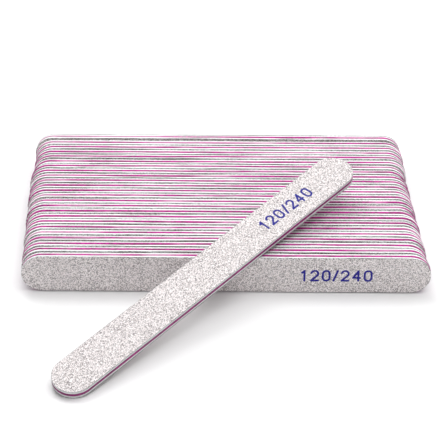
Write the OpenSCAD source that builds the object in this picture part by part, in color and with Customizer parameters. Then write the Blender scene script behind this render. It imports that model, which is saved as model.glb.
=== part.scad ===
// A pack of straight nail files: a row of files standing on their long edges,
// with one loose file laid across it. Each file is a lamination of a rigid core
// board, a foam pad on each side of it and an abrasive sheet on each pad.

/* [File] */
// Overall length of one file
file_l = 178; // [150:1:190]
// Width of one file, which is its height when it stands on edge
file_w = 18.3; // [16:0.1:22]
// Thickness of the coloured core board
core_t = 1.2; // [0.6:0.05:2]
// Thickness of each foam pad
foam_t = 1.04; // [0.6:0.02:1.6]
// Thickness of each abrasive sheet, backing paper and grain together
sheet_t = 0.32; // [0.2:0.02:0.6]
// Thickness of the glue line between two layers, which is left open
glue_t = 0.02; // [0.01:0.01:0.04]

/* [Row] */
// Mean clearance between neighbouring files
gap = 0.48; // [0.3:0.01:0.8]
// How much the clearance wanders from file to file
gap_wander = 0.1; // [0:0.01:0.12]
// How far each file sits to the left of the one in front of it
row_skew = 0.22; // [0:0.01:0.4]
// Extra clearance in front of the last file, which stands off from the others
last_off = 1.3; // [0:0.1:2]
// How far the last files sit to the right of the line of the others
back_shift = 1.2; // [0:0.1:2]
// How much each file's end is out of line with its neighbours
end_wander = 0.22; // [0:0.02:0.4]

/* [Leaning file] */
// Slope of the leaning file's face, from the horizontal
lean_tilt = 13.8; // [12:0.1:16]
// Turn of the leaning file within its own sloping face, from the row's length
lean_turn = 47.1; // [42:0.1:54]
// Where the leaning file crosses the row's front edge, from the row's middle
lean_x = 2; // [-20:0.1:20]
// Clearance under the leaning file where it rests on the row
lean_clear = 0.03; // [0.02:0.01:0.1]

/* [Grit mark] */
// Height of the grit mark's numerals
mark_h = 6; // [4:0.1:7]
// Width of one numeral
mark_w = 3.9; // [3:0.1:4.4]
// Width of the printed line
mark_line = 0.92; // [0.4:0.02:1.1]
// Thickness of the ink on the sheet
mark_t = 0.05; // [0.04:0.01:0.1]
// Distance from the file's end to the middle of the mark
mark_from_end = 41.5; // [36:0.5:60]

/* [Hidden] */
$fn = 96;
in_row = 24;
back_files = 5;
end_r = file_w / 2;

// Heights in the lamination, from the middle of the core to a working face
foam_z = core_t / 2 + glue_t;
sheet_z = foam_z + foam_t + glue_t;
face_z = sheet_z + sheet_t;
file_t = 2 * face_z;
pitch = file_t + gap;

// Colours
core_colour = [0.72, 0.13, 0.52];
foam_colour = [0.94, 0.94, 0.93];
sheet_colour = [0.76, 0.75, 0.76];
ink_colour = [0.20, 0.12, 0.55];

// Numerals: from one to the next and from the slash to the nearest, the middle of
// the printed line from the numeral's own middle, and the middle of a round end
mark_step = mark_w + 1.1;
slash_step = mark_w + 0.2;
stem_x = (mark_w - mark_line) / 2;
stem_y = (mark_h - mark_line) / 2;
bow_y = (mark_h - mark_w) / 2;
// Numerals: the flag of the 1, the dip of the arc of the 2, the slash's lean
flag = 1.1;
bow_dip = 35;
slash_lean = 0.9;

// The leaning file touches the table at the lowest point of its lower end, and
// its underside rests on the row's front edge. Distance along the file from its
// lower end to that edge:
lean_low = end_r + ((file_w + lean_clear) / sin(lean_tilt) - end_r) / sin(lean_turn);

// Small repeatable irregularities in how the row was squared up by hand. The last
// files sit to the right, and only the last of all stands off from the others.
function off_of(n) = n == in_row ? last_off : 0;
function depth_of(n) = (n - 1) * pitch + gap_wander * sin(n * 137 - 137) + off_of(n);
function back_of(n) = back_shift * min(1, max(0, (n - in_row + back_files + 1) / 2));
function shift_of(n) = -(n - 1) * row_skew + back_of(n) + end_wander * (sin(n * 101) - sin(101));

// Outline of a file: straight long edges and full round ends.
module outline() {
    square([file_l - 2 * end_r, file_w], center = true);
    for (side = [-1, 1])
        translate([side * (file_l / 2 - end_r), 0]) circle(r = end_r);
}

// One layer of the lamination, whose inner face is at distance z from the middle
// of the core. side is 1 towards the working face and -1 towards the back.
module layer(side, z, thickness) {
    translate([0, 0, side > 0 ? z : -z - thickness])
        linear_extrude(height = thickness) outline();
}

module core() {
    color(core_colour) layer(1, -core_t / 2, core_t);
}

module foam(side) {
    color(foam_colour) layer(side, foam_z, foam_t);
}

module sheet(side) {
    color(sheet_colour) layer(side, sheet_z, sheet_t);
}

// Both foam pads of a file and the abrasive sheets that face them.
module pads() {
    for (side = [-1, 1]) {
        foam(side);
        sheet(side);
    }
}

// A straight printed line between two points, with round tips.
module stroke(from, to) {
    run = to - from;
    for (tip = [from, to])
        translate(tip) circle(d = mark_line);
    translate(from) rotate(atan2(run.y, run.x))
        translate([0, -mark_line / 2]) square([norm(run), mark_line]);
}

// A printed arc as wide as a numeral, from one angle round to another. The wedge
// that is left open is cut away.
module bow(start, end) {
    wedge_step = (360 + start - end) / 6;
    difference() {
        circle(r = mark_w / 2);
        circle(r = mark_w / 2 - mark_line);
        polygon([
            [0, 0],
            for (a = [end : wedge_step : 360 + start]) 2 * mark_w * [cos(a), sin(a)]
        ]);
    }
}

// Numerals are drawn about their own middle, from plain lines and arcs.
module numeral_0() {
    for (side = [-1, 1]) {
        stroke([side * stem_x, -bow_y], [side * stem_x, bow_y]);
        translate([0, side * bow_y]) bow(side > 0 ? 0 : 180, side > 0 ? 180 : 360);
    }
}

module numeral_1() {
    top = [flag / 2, stem_y];
    stroke([top.x, -stem_y], top);
    stroke(top, top - [flag, flag]);
}

module numeral_2() {
    bow_end = [stem_x * cos(bow_dip), bow_y - stem_x * sin(bow_dip)];
    translate([0, bow_y]) bow(-bow_dip, 180);
    stroke(bow_end, [-stem_x, -stem_y]);
    stroke([-stem_x, -stem_y], [stem_x, -stem_y]);
}

module numeral_4() {
    upright = stem_x / 2;
    bar = -stem_y * 0.4;
    stroke([upright, -stem_y], [upright, stem_y]);
    stroke([upright, stem_y], [-stem_x, bar]);
    stroke([-stem_x, bar], [stem_x, bar]);
}

module slash() {
    stroke([-slash_lean, -stem_y], [slash_lean, stem_y]);
}

// The grit mark: two plain grit grades with a slash between them.
module grit_mark() {
    color(ink_colour)
        translate([file_l / 2 - mark_from_end, 0, face_z])
            linear_extrude(height = mark_t) {
                translate([-slash_step - 2 * mark_step, 0]) numeral_1();
                translate([-slash_step - mark_step, 0]) numeral_2();
                translate([-slash_step, 0]) numeral_0();
                slash();
                translate([slash_step, 0]) numeral_2();
                translate([slash_step + mark_step, 0]) numeral_4();
                translate([slash_step + 2 * mark_step, 0]) numeral_0();
            }
}

// Stands a file on edge at its place in the row, working face to the front.
module in_place(n) {
    translate([shift_of(n), depth_of(n), end_r]) rotate([90, 0, 0]) children();
}

// Lays a file across the row's front edge with its lower end on the table.
module laid_across() {
    translate([lean_x, -file_t / 2, file_w + lean_clear])
        rotate([lean_tilt, 0, 0]) rotate([0, 0, lean_turn])
            translate([file_l / 2 - lean_low, 0, file_t / 2]) children();
}

module show(name) {
    children();
}

// The front file, every layer by itself.
show("file_01_core") in_place(1) core();
show("file_01_foam_front") in_place(1) foam(1);
show("file_01_foam_back") in_place(1) foam(-1);
show("file_01_sheet_front") in_place(1) sheet(1);
show("file_01_sheet_back") in_place(1) sheet(-1);
show("file_01_grit_mark") in_place(1) grit_mark();

// The rest of the row, each file as its core and its pair of faced pads.
for (n = [2 : in_row]) {
    label = str("file_", n < 10 ? "0" : "", n);
    show(str(label, "_core")) in_place(n) core();
    show(str(label, "_pads")) in_place(n) pads();
}

// The leaning file, every layer by itself.
show("leaning_file_core") laid_across() core();
show("leaning_file_foam_top") laid_across() foam(1);
show("leaning_file_foam_bottom") laid_across() foam(-1);
show("leaning_file_sheet_top") laid_across() sheet(1);
show("leaning_file_sheet_bottom") laid_across() sheet(-1);
show("leaning_file_grit_mark") laid_across() grit_mark();
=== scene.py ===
"""A row of laminated nail files with one more file leaning across its front.

Lengths are in millimetres wherever a name ends in _MM, and in metres elsewhere.
"""

import math

import bmesh
import bpy
import numpy as np
from mathutils import Matrix, Vector


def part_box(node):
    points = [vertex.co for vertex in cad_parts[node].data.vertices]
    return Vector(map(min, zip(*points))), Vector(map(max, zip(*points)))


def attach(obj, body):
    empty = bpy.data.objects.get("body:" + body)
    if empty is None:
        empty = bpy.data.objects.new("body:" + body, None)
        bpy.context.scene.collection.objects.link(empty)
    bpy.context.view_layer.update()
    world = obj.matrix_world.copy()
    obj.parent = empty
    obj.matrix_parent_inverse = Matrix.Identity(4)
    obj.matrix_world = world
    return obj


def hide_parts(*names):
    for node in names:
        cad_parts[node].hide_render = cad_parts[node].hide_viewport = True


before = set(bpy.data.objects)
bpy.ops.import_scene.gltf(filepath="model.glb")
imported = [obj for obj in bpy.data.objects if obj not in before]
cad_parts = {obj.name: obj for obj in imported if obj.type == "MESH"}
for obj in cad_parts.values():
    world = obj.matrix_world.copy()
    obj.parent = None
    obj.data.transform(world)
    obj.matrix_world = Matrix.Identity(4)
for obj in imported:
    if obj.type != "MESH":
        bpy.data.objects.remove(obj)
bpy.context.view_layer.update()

MM = 0.001
FILES_IN_ROW = 24
FRONT_FILE = "file_01"
LEANING_FILE = "leaning_file"

# ---------------------------------------------------------------------------
# Camera, floor and lights
# ---------------------------------------------------------------------------

CAMERA_PLACE = Vector((-0.0011, -0.5837, 0.4046))
CAMERA_DOWN = math.radians(32.4)
CAMERA_ROLL = math.radians(0.35)
CAMERA_LENS_MM = 130.2
CAMERA_SENSOR_MM = 36
ROOM_LIGHT = 0.41
FLOOR_HALF = 3


def add_camera():
    data = bpy.data.cameras.new("camera")
    data.lens = CAMERA_LENS_MM
    data.sensor_width = CAMERA_SENSOR_MM
    camera = bpy.data.objects.new("camera", data)
    bpy.context.scene.collection.objects.link(camera)
    camera.matrix_world = (
        Matrix.Translation(CAMERA_PLACE)
        @ Matrix.Rotation(math.pi / 2 - CAMERA_DOWN, 4, "X")
        @ Matrix.Rotation(CAMERA_ROLL, 4, "Z")
    )
    bpy.context.scene.camera = camera


def add_softbox(name, place, size, watts):
    """A square soft light of that size, pointing at the front file's foot."""
    data = bpy.data.lights.new(name, "AREA")
    data.shape = "SQUARE"
    data.size = size
    data.energy = watts
    light = bpy.data.objects.new(name, data)
    bpy.context.scene.collection.objects.link(light)
    light.location = place
    light.rotation_mode = "QUATERNION"
    light.rotation_quaternion = (-Vector(place)).to_track_quat("-Z", "Y")


def add_studio():
    world = bpy.data.worlds.new("white_room")
    world.use_nodes = True
    background = world.node_tree.nodes["Background"]
    background.inputs["Color"].default_value = shade(1, 1, 1)
    background.inputs["Strength"].default_value = ROOM_LIGHT
    bpy.context.scene.world = world
    add_softbox("back_left", (-0.4, 0.7, 1.1), size=0.9, watts=9.0)
    add_softbox("right", (0.4, 0.2, 1.1), size=1.0, watts=7.0)
    add_softbox("front", (0.1, -0.4, 1.1), size=0.8, watts=2.7)
    bpy.context.scene.view_settings.view_transform = "Standard"


# ---------------------------------------------------------------------------
# Materials
# ---------------------------------------------------------------------------


class Wire:
    """What comes out of one socket of a material. Python's operators add Math nodes."""

    def __init__(self, finish, socket):
        self.finish = finish
        self.socket = socket

    def math(self, operation, *values):
        settings = {"operation": operation}
        return self.finish.node("ShaderNodeMath", settings, dict(enumerate(values)))

    def __add__(self, other):
        return self.math("ADD", self, other)

    def __radd__(self, other):
        return self.math("ADD", other, self)

    def __sub__(self, other):
        return self.math("SUBTRACT", self, other)

    def __rsub__(self, other):
        return self.math("SUBTRACT", other, self)

    def __mul__(self, other):
        return self.math("MULTIPLY", self, other)

    def __rmul__(self, other):
        return self.math("MULTIPLY", other, self)

    def __gt__(self, other):
        return self.math("GREATER_THAN", self, other)

    def __lt__(self, other):
        return self.math("LESS_THAN", self, other)

    def between(self, low, high):
        """0 below low, 1 above high and smooth in between."""
        settings = {"interpolation_type": "SMOOTHSTEP"}
        ends = {"Value": self, "From Min": low, "From Max": high}
        return self.finish.node("ShaderNodeMapRange", settings, ends)


class Finish:
    """One procedural material, around a Principled shader."""

    def __init__(self, name, **constants):
        self.material = bpy.data.materials.new(name)
        self.material.use_nodes = True
        self.tree = self.material.node_tree
        self.tree.nodes.clear()
        self.shader = self.tree.nodes.new("ShaderNodeBsdfPrincipled")
        output = self.tree.nodes.new("ShaderNodeOutputMaterial")
        self.tree.links.new(self.shader.outputs["BSDF"], output.inputs["Surface"])
        for socket, value in constants.items():
            self.shader.inputs[socket.replace("_", " ")].default_value = value

    def node(self, kind, settings=None, inputs=None, output=0):
        """Adds a node, with its settings and then its inputs, and returns one output."""
        made = self.tree.nodes.new(kind)
        for setting, value in (settings or {}).items():
            setattr(made, setting, value)
        for socket, value in (inputs or {}).items():
            if isinstance(value, Wire):
                self.tree.links.new(value.socket, made.inputs[socket])
            else:
                made.inputs[socket].default_value = value
        return Wire(self, made.outputs[output])

    def place(self, stretch=(1, 1, 1)):
        """The point's place in its own file, in mm along, across and through it."""
        here = self.node("ShaderNodeAttribute", {"attribute_name": "place_mm"}, output="Vector")
        settings = {"operation": "MULTIPLY"}
        return self.node("ShaderNodeVectorMath", settings, {0: here, 1: stretch})

    def inset(self):
        """How far in from its layer's cut edge the point is, in mm."""
        return self.node("ShaderNodeAttribute", {"attribute_name": "inset_mm"}, output="Fac")

    def noise(self, size_mm, detail=2.0, stretch=(1, 1, 1)):
        """Cloudy values from 0 to 1. stretch above 1 along an axis makes them finer there."""
        inputs = {"Vector": self.place(stretch), "Scale": 1 / size_mm, "Detail": detail}
        return self.node("ShaderNodeTexNoise", None, inputs)

    def cells(self, size_mm, output="Distance"):
        """Packed cells of that size. Distance is from a point to its own cell's middle, as a
        share of that size, and Color is a random one for each cell."""
        inputs = {"Vector": self.place(), "Scale": 1 / size_mm}
        return self.node("ShaderNodeTexVoronoi", None, inputs, output)

    def cell_values(self, size_mm):
        """A random number from 0 to 1 for each cell."""
        colour = self.cells(size_mm, "Color")
        return self.node("ShaderNodeSeparateColor", None, {"Color": colour}, "Red")

    def mix(self, amount, first, second):
        """first where amount is 0, second where it is 1."""
        inputs = {0: amount, 6: first, 7: second}
        return self.node("ShaderNodeMix", {"data_type": "RGBA"}, inputs, 2)

    def use(self, socket, value):
        self.tree.links.new(value.socket, self.shader.inputs[socket])

    def bump(self, height, depth_mm):
        """Relief that is depth_mm high where height goes from 0 to 1."""
        inputs = {"Height": height, "Distance": depth_mm * MM, "Strength": 1.0}
        self.use("Normal", self.node("ShaderNodeBump", None, inputs))


def shade(red, green, blue):
    return (red, green, blue, 1.0)


GREY_GRAIN = shade(0.19, 0.175, 0.18)
WHITE_GRAIN = shade(0.95, 0.905, 0.91)
WARM_GRAIN = shade(0.76, 0.65, 0.63)
DARK_GRAIN = shade(0.10, 0.09, 0.095)
FOAM_DUST = shade(0.90, 0.62, 0.78)
INK = shade(0.002, 0.0005, 0.24)
THIN_INK = shade(0.20, 0.17, 0.45)
GRAIN_MM = 0.27
WARM_GRAIN_MM = 0.45
COARSE_GRAIN_MM = 0.5
DARK_GRAINS_FROM = 0.95
CUT_EDGE_MM = 0.06


def abrasive_finish(name, cut_dark, cut_light):
    """Pale grit: packed grains, most of them near white, grey ones between them and a few
    dark ones. The cut edge is grit and paper in runs of a dark and a light colour."""
    finish = Finish(name)
    grains = finish.cell_values(GRAIN_MM)
    clumps = finish.noise(1.1)
    tone = grains * 0.88 + clumps * 0.12
    body = finish.mix(tone.between(0.3, 0.5), GREY_GRAIN, WHITE_GRAIN)
    warm = finish.mix(finish.cell_values(WARM_GRAIN_MM) * 0.3, body, WARM_GRAIN)
    chosen = finish.cell_values(COARSE_GRAIN_MM) > DARK_GRAINS_FROM
    dark = chosen * (1 - finish.cells(COARSE_GRAIN_MM).between(0.25, 0.5))
    face = finish.mix(dark * 0.7, warm, DARK_GRAIN)
    runs = finish.noise(18.0, detail=4.0, stretch=(0.45, 2, 3))
    flecks = finish.cell_values(0.55).between(0.3, 0.7)
    cut_tone = runs.between(0.42, 0.56) * (0.35 + flecks * 0.65)
    cut = finish.mix(cut_tone, cut_dark, cut_light)
    on_edge = finish.inset() < CUT_EDGE_MM + grains * 0.12
    finish.use("Base Color", finish.mix(on_edge, face, cut))
    finish.use("Roughness", 0.7 + grains * 0.25)
    finish.bump(1 - finish.cells(COARSE_GRAIN_MM), 0.09)
    return finish.material


def foam_finish(name, dark, light):
    """Closed-cell foam, cut clean: fine pores, faint drag lines, and flecks and patches of
    its dark colour."""
    finish = Finish(name, Roughness=0.92)
    pores = finish.cells(0.22)
    drag = finish.noise(0.8, stretch=(0.15, 1, 4))
    patches = finish.noise(14.0, stretch=(1, 2, 3))
    flecks = finish.cell_values(0.5).between(0.1, 0.35)
    cut = pores.between(0.05, 0.5) * 0.2 + drag * 0.1
    tone = cut + patches.between(0.35, 0.55) * 0.4 + flecks * 0.3
    finish.use("Base Color", finish.mix(tone, dark, light))
    finish.bump(pores, 0.05)
    return finish.material


def core_finish(name, dark, light, dust):
    """Dyed board, with saw lines along its cut edge and slightly uneven colour. dust is how
    thickly foam dust is smeared over it in places, from 0 to 1."""
    finish = Finish(name)
    lines = finish.noise(0.9, detail=3.0, stretch=(0.2, 0.2, 6))
    patches = finish.noise(12.0, detail=4.0)
    tone = lines * 0.25 + patches * 0.45 + finish.cell_values(0.6) * 0.3
    dyed = finish.mix(tone.between(0.35, 0.65), dark, light)
    smears = finish.noise(16.0, detail=3.0, stretch=(0.5, 1, 1)).between(0.5, 0.66)
    finish.use("Base Color", finish.mix(smears * dust, dyed, FOAM_DUST))
    finish.use("Roughness", 0.45 + lines * 0.3)
    finish.bump(lines, 0.05)
    return finish.material


def ink_finish():
    """Blue-violet print, thinner where it missed the low grains."""
    finish = Finish("grit_mark_ink")
    missed = (finish.cell_values(0.4) > 0.85) * finish.noise(1.2).between(0.45, 0.7)
    finish.use("Base Color", finish.mix(missed * 0.4, INK, THIN_INK))
    finish.use("Roughness", 0.5 + finish.noise(0.5) * 0.3)
    finish.bump(finish.cells(0.42), 0.04)
    return finish.material


def floor_finish():
    """Matt white, very slightly uneven."""
    finish = Finish("pale_floor", Roughness=0.9)
    cloud = finish.node("ShaderNodeTexNoise", None, {"Scale": 3.0, "Detail": 2.0})
    finish.use("Base Color", finish.mix(cloud, shade(0.90, 0.90, 0.905), shade(0.92, 0.92, 0.92)))
    return finish.material


# ---------------------------------------------------------------------------
# Files, measured from the frame
# ---------------------------------------------------------------------------


def layer_span(node):
    """The lowest and highest z of one of the front file's layers, in its own frame, in mm."""
    low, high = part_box(node)
    core_low, core_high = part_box(FRONT_FILE + "_core")
    middle = (core_low.y + core_high.y) / 2
    return (middle - high.y) / MM, (middle - low.y) / MM


def file_size():
    """The front file's length and width, in mm."""
    low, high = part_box(FRONT_FILE + "_core")
    return (high.x - low.x) / MM, (high.z - low.z) / MM


def file_placement(name):
    """Takes a file's own frame to the row's: x along it, y across it, z out of its face."""
    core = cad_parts[name + "_core"].data
    points = np.array([v.co for v in core.vertices], float)
    if name == LEANING_FILE:
        spread = np.linalg.svd(points - points.mean(0), full_matrices=False)[2]
        along = Vector(spread[0])
        along *= math.copysign(1, along.z)
        out = Vector(spread[2])
        out *= math.copysign(1, out.z)
    else:
        along = Vector((1, 0, 0))
        out = Vector((0, -1, 0))
    across = out.cross(along)
    axes = np.array([along, across, out])
    reach = points @ axes.T
    middle = axes.T @ ((reach.min(0) + reach.max(0)) / 2)
    placement = Matrix((along, across, out)).transposed().to_4x4()
    placement.translation = Vector(middle)
    return placement


FILE_L_MM, FILE_W_MM = file_size()
END_R_MM = FILE_W_MM / 2
STRAIGHT_MM = FILE_L_MM / 2 - END_R_MM
ROW = [f"file_{n:02d}" for n in range(1, FILES_IN_ROW + 1)]
PLACEMENTS = {name: file_placement(name) for name in [*ROW, LEANING_FILE]}


# ---------------------------------------------------------------------------
# Layers
# ---------------------------------------------------------------------------

# Cells along each side of the table that smooth random numbers are read from, how close
# points have to be to be welded, and how far apart two neighbouring files take their grain
TABLE_CELLS = 256
WELD_MM = 0.005
GRAIN_SHIFT_MM = 37.0

# The bow of the row's files: how much at most, over what length along a file and over how
# many files it changes, and how many files from each end of the row it fades over
BOW_MM = 0.14
BOW_RUN_MM = 50.0
BOW_FILES = 5
BOW_FADE_FILES = 3
BOW_SEED = 900

# Grit: the size of the grains and clumps in its surface, and how deep that goes
GRIT_GRAIN_MM = 0.45
GRIT_CLUMP_MM = 1.7
GRIT_MM = 0.07

# Cut edges: the size of nicks and ripples in them, how much faster those change over a
# layer's thickness than along it, the size of shallow dips and long sweeps, how far in from
# the edge all of it fades, and how sharply the clearance at the foot fades round the ends
NICK_MM = 0.9
RIPPLE_MM = 6.0
RISE_STRETCH = 3
DIP_MM = 8.0
SWEEP_MM = 34.0
EDGE_DEPTH_MM = 0.6
FOOT_FADE = 4


def wander(seed, x, y, size):
    """Smooth random numbers from 0 to 1 at points x and y, with features of that size."""
    table = np.random.default_rng(seed).random((TABLE_CELLS, TABLE_CELLS))
    x = np.asarray(x, float) / size
    y = np.asarray(y, float) / size
    column, row = np.floor(x).astype(int), np.floor(y).astype(int)
    along, up = x - column, y - row
    along = along * along * (3 - 2 * along)
    up = up * up * (3 - 2 * up)
    right, above = (column + 1) % TABLE_CELLS, (row + 1) % TABLE_CELLS
    column, row = column % TABLE_CELLS, row % TABLE_CELLS
    low = table[row, column] * (1 - along) + table[row, right] * along
    high = table[above, column] * (1 - along) + table[above, right] * along
    return low * (1 - up) + high * up


def bow(name, x):
    """How far a file bends out of its own plane at x along it, in mm. Neighbours bend nearly
    alike, and the front, last and leaning files are straight."""
    number = ROW.index(name) if name in ROW else 0
    last = FILES_IN_ROW - 1
    share = min(1, number / BOW_FADE_FILES, (last - number) / BOW_FADE_FILES)
    across = np.full_like(x, number * BOW_RUN_MM / BOW_FILES)
    return BOW_MM * share * (2 * wander(BOW_SEED, x, across, BOW_RUN_MM) - 1)


def outline(step):
    """Once round a file, anticlockwise: where on the centre line each column of the mesh
    leads from, and the way that it leads."""
    run = max(2, round(2 * STRAIGHT_MM / step))
    bend = max(8, round(math.pi * END_R_MM / step))
    share = np.arange(run) / run
    turn = np.arange(bend) / bend * math.pi
    ones, zeros = np.ones(run), np.zeros(run)
    anchor = np.concatenate([np.full(bend, STRAIGHT_MM), STRAIGHT_MM * (1 - 2 * share),
                             np.full(bend, -STRAIGHT_MM), STRAIGHT_MM * (2 * share - 1)])
    way_x = np.concatenate([np.sin(turn), zeros, -np.sin(turn), zeros])
    way_y = np.concatenate([-np.cos(turn), ones, np.cos(turn), -ones])
    return anchor, way_x, way_y


def face_insets(rings, inner):
    """Distances in from the edge of the rings of a flat face, from the centre line out. The
    ring at inner isn't one of them."""
    return np.linspace(END_R_MM, inner, rings + 1)[:-1]


def layer_profile(low, high, corner, low_rings, wall_rings, high_rings):
    """The rings of a layer, from the middle of its underside round its edge to the middle
    of its top: how far in from the edge each one is, and its height."""
    quarter = np.array([0.0, 30.0, 60.0, 90.0]) * math.pi / 180
    under = face_insets(low_rings, corner)
    over = face_insets(high_rings, corner)[::-1]
    wall = np.linspace(low + corner, high - corner, wall_rings + 2)[1:-1]
    inset = np.concatenate([under, corner * (1 - np.sin(quarter)), np.zeros(wall_rings),
                            corner * (1 - np.sin(quarter[::-1])), over])
    height = np.concatenate([np.full(len(under), low), low + corner * (1 - np.cos(quarter)),
                             wall, high - corner * (1 - np.cos(quarter[::-1])),
                             np.full(len(over), high)])
    return inset, height


def grit_depth(seed, x, y):
    """How deep the grit's surface lies under its highest grains, from 0 to 1."""
    grains = wander(seed, x, y, GRIT_GRAIN_MM)
    return 0.65 * grains + 0.35 * wander(seed + 1, x, y, GRIT_CLUMP_MM)


def ring_grid(rings, columns):
    """The quads of a grid of rings that each close on themselves."""
    ring = np.arange(rings - 1)[:, None] * columns
    here = np.arange(columns)[None, :]
    after = (here + 1) % columns
    corners = [ring + here, ring + after, ring + columns + after, ring + columns + here]
    return np.stack(corners, -1).reshape(-1, 4).tolist()


def new_piece(name, body, finish, points_mm, inset_mm, faces, weld):
    """A piece from points in its file's own frame, which the finish can read and which move
    with the file's bow. The points to weld are those that meet on the centre line."""
    mesh = bpy.data.meshes.new(name)
    placement = PLACEMENTS[body]
    bent = points_mm.copy()
    bent[:, 2] += bow(body, points_mm[:, 0])
    moved = bent * MM @ np.array(placement.to_3x3()).T + np.array(placement.translation)
    mesh.from_pydata(moved.tolist(), [], faces)
    mesh.materials.append(finish)
    own_grain = points_mm + np.array([0, 0, GRAIN_SHIFT_MM * list(PLACEMENTS).index(body)])
    mesh.attributes.new("place_mm", "FLOAT_VECTOR", "POINT")
    mesh.attributes["place_mm"].data.foreach_set("vector", own_grain.ravel())
    mesh.attributes.new("inset_mm", "FLOAT", "POINT")
    mesh.attributes["inset_mm"].data.foreach_set("value", inset_mm)
    build = bmesh.new()
    build.from_mesh(mesh)
    build.verts.ensure_lookup_table()
    bmesh.ops.remove_doubles(build, verts=[build.verts[i] for i in weld], dist=WELD_MM * MM)
    build.to_mesh(mesh)
    build.free()
    piece = bpy.data.objects.new(name, mesh)
    bpy.context.scene.collection.objects.link(piece)
    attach(piece, body)
    return piece


class Layer:
    """How one layer of a file is cut. span is its lowest and highest z in its file's own
    frame, corner the radius of its edge's corners, step the spacing of its points along the
    edge, and rings how many it has on its underside, its edge and its top. rough is how deep
    nicks and ripples are, sunk how far its edge wanders in over longer runs, bulge how far
    its edge swells half way up, foot how far it stays clear of what the file stands on, and
    grit how deep the grain is on its underside and its top."""

    def __init__(self, span, corner, step, rings, rough, sunk=0.0, bulge=0.0, foot=0.0,
                 grit=(0, 0)):
        self.low, self.high = span
        self.corner = corner
        self.step = step
        self.rings = rings
        self.rough = rough
        self.sunk = sunk
        self.bulge = bulge
        self.foot = foot
        self.grit = grit

    def shape(self, seed):
        """The layer's points in its file's own frame, and how far in from the layer's cut
        edge each one is, both ring by ring. It uses ten seeds, from the one given on."""
        inset, height = layer_profile(self.low, self.high, self.corner, *self.rings)
        anchor, way_x, way_y = outline(self.step)
        middle, half = (self.low + self.high) / 2, (self.high - self.low) / 2
        edge_x, edge_y = anchor + way_x * END_R_MM, way_y * END_R_MM
        rise = height[:, None] * RISE_STRETCH
        nicks = wander(seed, edge_x + rise, edge_y + rise, NICK_MM)
        ripples = wander(seed + 1, edge_x + rise, edge_y, RIPPLE_MM)
        drawn_in = self.bulge * ((height - middle) / half)[:, None] ** 2
        runs = 0.7 * wander(seed + 7, edge_x, edge_y, SWEEP_MM)
        runs += 0.3 * wander(seed + 8, edge_x, edge_y, DIP_MM)
        level = np.random.default_rng(seed + 9).random()
        wave = self.sunk * (0.75 * np.clip(runs * 2 - 0.5, 0, 1) + 0.25 * level)
        clear = self.foot * np.clip(-way_y, 0, 1) ** FOOT_FADE
        at_edge = np.exp(-inset / EDGE_DEPTH_MM)[:, None]
        cut = self.rough * (nicks + ripples) / 2 + drawn_in + wave + clear
        depth = np.minimum(inset[:, None] + at_edge * cut, END_R_MM)
        x = anchor + way_x * (END_R_MM - depth)
        y = way_y * (END_R_MM - depth)
        z = height[:, None] + np.zeros_like(x)
        for side, grit in zip((-1, 1), self.grit):
            face = np.clip((side * (height - middle) - half) / self.corner + 1, 0, 1)
            z -= side * grit * face[:, None] * grit_depth(seed + 4 + side, x, y)
        return np.stack([x, y, z], -1), np.broadcast_to(inset[:, None], x.shape)

    def make(self, name, body, slot, finish, seed):
        """The layer as a piece of that body."""
        points, inset = self.shape(seed)
        rings, columns = inset.shape
        ends = [*range(columns), *range((rings - 1) * columns, rings * columns)]
        return new_piece(name, body, finish, points.reshape(-1, 3), inset.ravel(),
                         ring_grid(rings, columns), ends)


# ---------------------------------------------------------------------------
# The pieces of each file
# ---------------------------------------------------------------------------

# Spacing of a layer's points along its edge and rings on its working face, fine where the
# face is seen from close by and plain elsewhere
FINE_STEP_MM = 0.32
PLAIN_STEP_MM = 0.6
FINE_FACE_RINGS = 28
PLAIN_FACE_RINGS = 7

# Standing files: how far foam and sheets stay clear of the table. Files and sheets that are
# cut straighter than the rest have this share of their unevenness over longer runs.
FOOT_MM = 0.45
STRAIGHTER = 0.3

# The print: how much its thickness is stretched while it is evened out, the size of its
# faces, and how far it stands out of the sheet
PRINT_STRETCH = 20
PRINT_FACE_MM = 0.13
PRINT_MM = 0.03

# Seeds: the first one, how many are set aside for each file, where among them those of its
# foam and of its sheets are, and how far to either side of that each side's own are
FIRST_SEED = 1000
SEEDS_PER_FILE = 100
FOAM_SEED = 30
SHEET_SEED = 60
SIDE_SEED = 10


def core_layer(waviness):
    return Layer(layer_span(FRONT_FILE + "_core"), corner=0.06, step=PLAIN_STEP_MM,
                 rings=(1, 2, 1), rough=0.08, sunk=0.22 * waviness)


def foam_layer(side, waviness, foot):
    node = FRONT_FILE + ("_foam_front" if side > 0 else "_foam_back")
    return Layer(layer_span(node), corner=0.12, step=PLAIN_STEP_MM, rings=(1, 3, 1),
                 rough=0.08, sunk=0.36 * waviness, bulge=0.10, foot=foot)


def sheet_layer(side, fine, waviness, foot):
    """An abrasive sheet, whose grit is on the side away from the core."""
    node = FRONT_FILE + ("_sheet_front" if side > 0 else "_sheet_back")
    face_rings = FINE_FACE_RINGS if fine else PLAIN_FACE_RINGS
    rings = (1, 2, face_rings) if side > 0 else (face_rings, 2, 1)
    grit = (0, GRIT_MM) if side > 0 else (GRIT_MM, 0)
    step = FINE_STEP_MM if fine else PLAIN_STEP_MM
    return Layer(layer_span(node), corner=0.08, step=step, rings=rings, rough=0.07,
                 sunk=0.4 * waviness, foot=foot, grit=grit)


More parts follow.
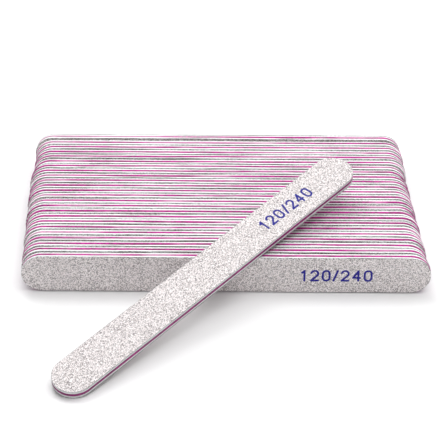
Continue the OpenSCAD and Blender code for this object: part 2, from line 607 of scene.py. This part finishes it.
def print_points():
    """The grit mark's mesh in its file's own frame, in mm, evened out into small faces."""
    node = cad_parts[FRONT_FILE + "_grit_mark"]
    mesh = node.data.copy()
    to_file = PLACEMENTS[FRONT_FILE].inverted()
    thicker = Matrix.Diagonal((1, 1, PRINT_STRETCH, 1))
    mesh.transform(thicker @ Matrix.Scale(1 / MM, 4) @ to_file)
    build = bmesh.new()
    build.from_mesh(mesh)
    bmesh.ops.remove_doubles(build, verts=build.verts, dist=WELD_MM)
    build.to_mesh(mesh)
    build.free()
    draft = bpy.data.objects.new("print_draft", mesh)
    bpy.context.scene.collection.objects.link(draft)
    even = draft.modifiers.new("even", "REMESH")
    even.mode = "VOXEL"
    even.voxel_size = PRINT_FACE_MM
    evaluated = draft.evaluated_get(bpy.context.evaluated_depsgraph_get())
    made = bpy.data.meshes.new_from_object(evaluated)
    bpy.data.objects.remove(draft)
    points = np.array([v.co for v in made.vertices], float)
    faces = [list(p.vertices) for p in made.polygons]
    share = (points[:, 2] - points[:, 2].min()) / np.ptp(points[:, 2])
    face = layer_span(FRONT_FILE + "_sheet_front")[1]
    points[:, 2] = face - GRIT_MM + share * (GRIT_MM + PRINT_MM)
    return points, faces


def make_file(name, finishes, print_shape):
    """Every piece of one file. Only split files have a CAD node for each layer and print."""
    number = list(PLACEMENTS).index(name)
    upright = name != LEANING_FILE
    sides = {1: "front" if upright else "top", -1: "back" if upright else "bottom"}
    waviness = 1 if upright else STRAIGHTER
    foot = FOOT_MM if upright else 0
    split = name in (FRONT_FILE, LEANING_FILE)
    seed = FIRST_SEED + SEEDS_PER_FILE * number
    core = core_layer(waviness).make(f"{name}_core_board", name, "core_board",
                                     finishes["core"], seed)
    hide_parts(f"{name}_core")
    for side, word in sides.items():
        layer = foam_layer(side, waviness, foot)
        foam = layer.make(f"{name}_{word}_foam", name, "foam_pad", finishes["foam"],
                          seed + FOAM_SEED + SIDE_SEED * side)
        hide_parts(f"{name}_foam_{word}" if split else f"{name}_pads")
        fine = split and side > 0
        layer = sheet_layer(side, fine, STRAIGHTER if fine else waviness, foot)
        sheet = layer.make(f"{name}_{word}_sheet", name, "abrasive_sheet",
                           finishes["abrasive"], seed + SHEET_SEED + SIDE_SEED * side)
        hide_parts(f"{name}_sheet_{word}" if split else f"{name}_pads")
    points, faces = print_shape
    mark = new_piece(f"{name}_print", name, finishes["ink"], points,
                     np.full(len(points), END_R_MM), faces, [])
    if split:
        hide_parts(f"{name}_grit_mark")


def make_floor():
    """The flat white top that the row stands on."""
    mesh = bpy.data.meshes.new("floor")
    half = FLOOR_HALF
    corners = [(-half, -half, 0), (half, -half, 0), (half, half, 0), (-half, half, 0)]
    mesh.from_pydata(corners, [], [(0, 1, 2, 3)])
    mesh.materials.append(floor_finish())
    floor = bpy.data.objects.new("floor", mesh)
    bpy.context.scene.collection.objects.link(floor)


add_camera()
add_studio()
make_floor()
ROW_FINISHES = {
    "core": core_finish("magenta_board", shade(0.20, 0.0003, 0.10),
                        shade(0.56, 0.003, 0.30), dust=0.35),
    "foam": foam_finish("white_foam", shade(0.78, 0.79, 0.79), shade(0.99, 0.99, 0.99)),
    "abrasive": abrasive_finish("abrasive_grit", shade(0.005, 0.005, 0.006),
                                shade(0.62, 0.69, 0.70)),
    "ink": ink_finish(),
}
# The leaning file gets darker copies of the row's core, foam and cut edge colours: painted shade
# on its long edge, which the lights hardly reach.
LEANING_FINISHES = {
    # Painted shade: the core is the row's magenta board made darker, with no foam dust.
    "core": core_finish("shaded_magenta_board", shade(0.13, 0.0005, 0.07),
                        shade(0.36, 0.004, 0.20), dust=0.0),
    # Painted shade: the same white foam as the row's, made grey.
    "foam": foam_finish("shaded_grey_foam", shade(0.56, 0.56, 0.565), shade(0.72, 0.72, 0.725)),
    # Partly painted shade: the cut edge runs between two greys, the lighter one darker than the
    # row's.
    "abrasive": abrasive_finish("grit_with_shaded_edge", shade(0.20, 0.21, 0.215),
                                shade(0.54, 0.55, 0.55)),
    "ink": ROW_FINISHES["ink"],
}
PRINT_SHAPE = print_points()
for file_name in PLACEMENTS:
    leaning = file_name == LEANING_FILE
    make_file(file_name, LEANING_FINISHES if leaning else ROW_FINISHES, PRINT_SHAPE)
